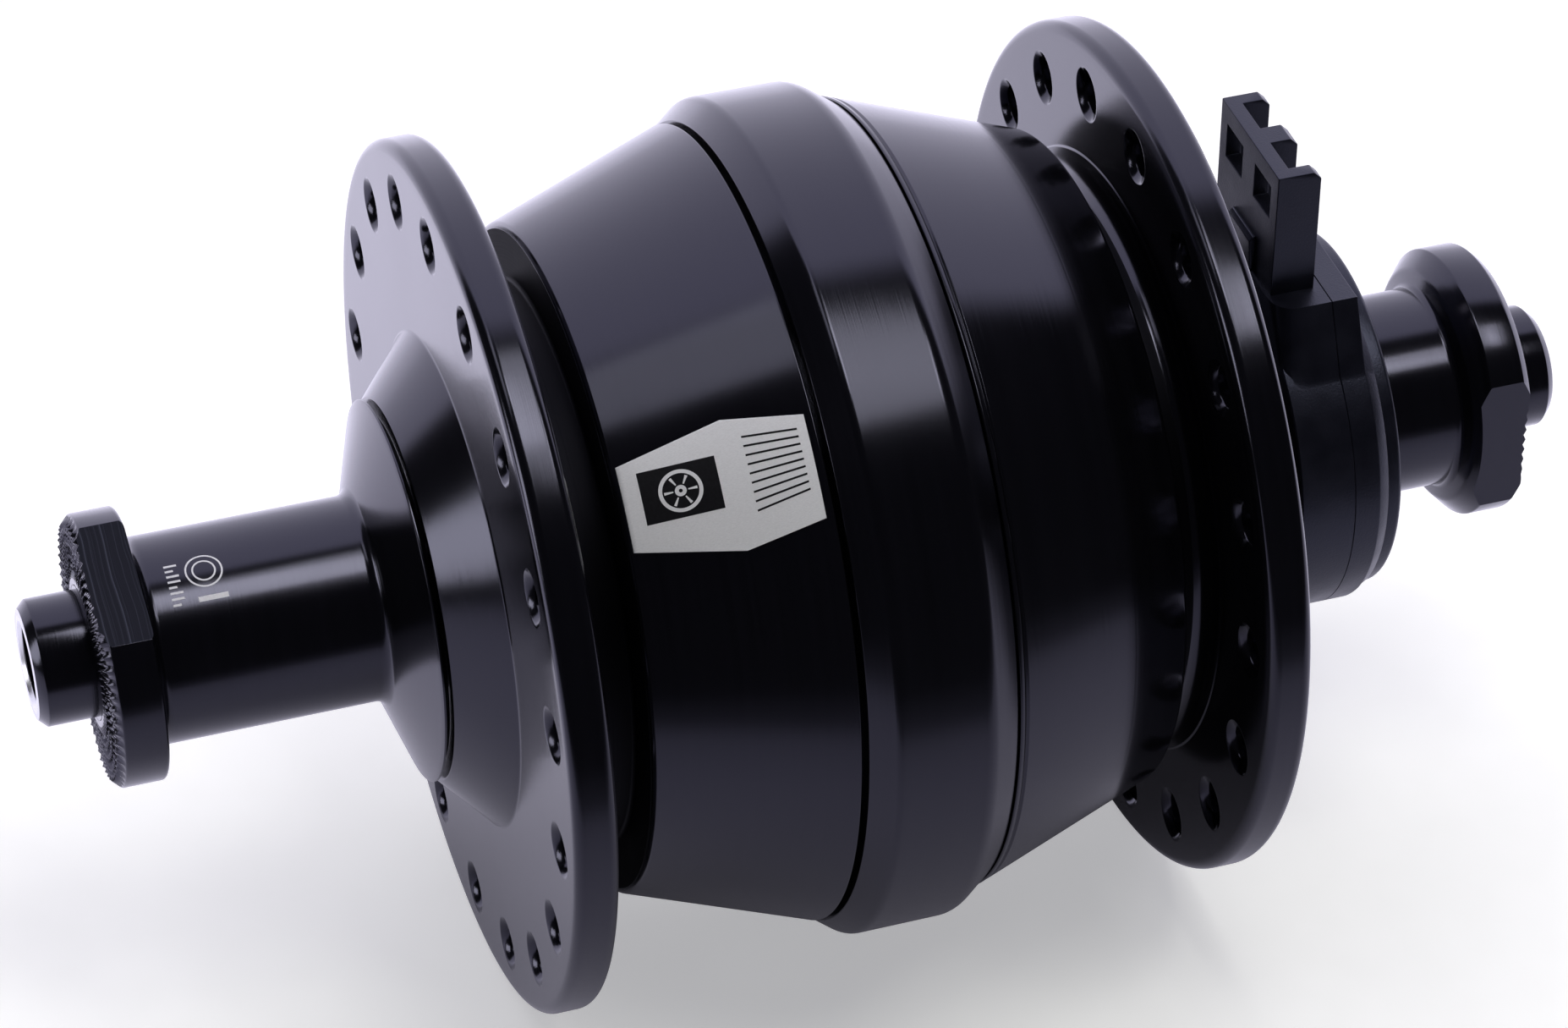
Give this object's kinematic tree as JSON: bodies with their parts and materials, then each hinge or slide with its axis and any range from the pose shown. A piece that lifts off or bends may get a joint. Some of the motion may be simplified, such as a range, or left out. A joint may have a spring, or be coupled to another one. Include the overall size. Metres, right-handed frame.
{
  "type": "bicycle hub dynamo",
  "caption": "Front bicycle hub with a generator inside: hollow quick-release axle, two drilled spoke flanges on a conical shell and a two-blade plug connector.",
  "frame": {"origin": "on the axle's centre line, midway between the two faces that meet the fork", "axes": "+Y along the axle towards the connector end, +Z the way the contact tower points, +X square to both"},
  "size_m": [0.0598, 0.108, 0.0598],
  "materials": {
    "black_anodised": "satin black anodised, turned",
    "connector_plastic": "moulded black, fine grain",
    "bearing_steel": "ground",
    "soft_iron": "stamped",
    "magnet": "nickel plated",
    "zinc_steel": "zinc plated",
    "plain_aluminium": "turned",
    "bobbin_plastic": "moulded",
    "enamelled_copper": "enamelled wire",
    "red_insulation": "smooth",
    "black_insulation": "smooth",
    "contact_metal": "tinned",
    "seal_rubber": "matt",
    "shield_steel": "painted",
    "cage_brass": "stamped",
    "badge_foil": "brushed foil"
  },
  "bodies": {
    "still_core": {"axle": "black_anodised", "flared_sleeve": "black_anodised", "end_sleeve": "black_anodised", "left_inner_race": "bearing_steel", "right_inner_race": "bearing_steel", "left_spacer": "plain_aluminium", "right_spacer": "plain_aluminium", "bearing_collar": "plain_aluminium", "left_stator_nut": "zinc_steel", "right_stator_nut": "zinc_steel", "left_stator_washer": "zinc_steel", "right_stator_washer": "zinc_steel", "left_claw_plate": "soft_iron", "right_claw_plate": "soft_iron", "stator_core": "soft_iron", "coil_bobbin": "bobbin_plastic", "coil_winding": "enamelled_copper", "lead_wire_a": "red_insulation", "lead_wire_b": "black_insulation", "connector_base": "connector_plastic", "connector_cap": "connector_plastic", "connector_cover": "connector_plastic", "contact_blade_a": "contact_metal", "contact_blade_b": "contact_metal"},
    "turning_shell": {"left_shell": "black_anodised", "centre_band": "black_anodised", "right_shell": "black_anodised", "flux_ring": "soft_iron", "north_magnets": "magnet", "south_magnets": "magnet", "left_o_ring": "seal_rubber", "right_o_ring": "seal_rubber", "left_outer_race": "bearing_steel", "right_outer_race": "bearing_steel", "left_bearing_shields": "shield_steel", "right_bearing_shields": "shield_steel", "left_dust_seal": "seal_rubber", "right_dust_seal": "seal_rubber", "badge": "badge_foil"},
    "left_ball_set": {"left_balls": "bearing_steel", "left_ball_cage": "cage_brass"},
    "right_ball_set": {"right_balls": "bearing_steel", "right_ball_cage": "cage_brass"}
  },
  "joints": [
    {"name": "shell_spin", "type": "hinge", "parent": "still_core", "child": "turning_shell", "pos_m": [0, 0, 0], "axis": [0, 1, 0], "continuous": true},
    {"name": "left_ball_orbit", "type": "hinge", "parent": "still_core", "child": "left_ball_set", "pos_m": [0, -0.0245, 0], "axis": [0, 1, 0], "continuous": true},
    {"name": "right_ball_orbit", "type": "hinge", "parent": "still_core", "child": "right_ball_set", "pos_m": [0, 0.0245, 0], "axis": [0, 1, 0], "continuous": true}
  ],
  "couplings": [
    {"joint": "left_ball_orbit", "follows": "shell_spin", "ratio": 0.5992},
    {"joint": "right_ball_orbit", "follows": "shell_spin", "ratio": 0.5992}
  ]
}
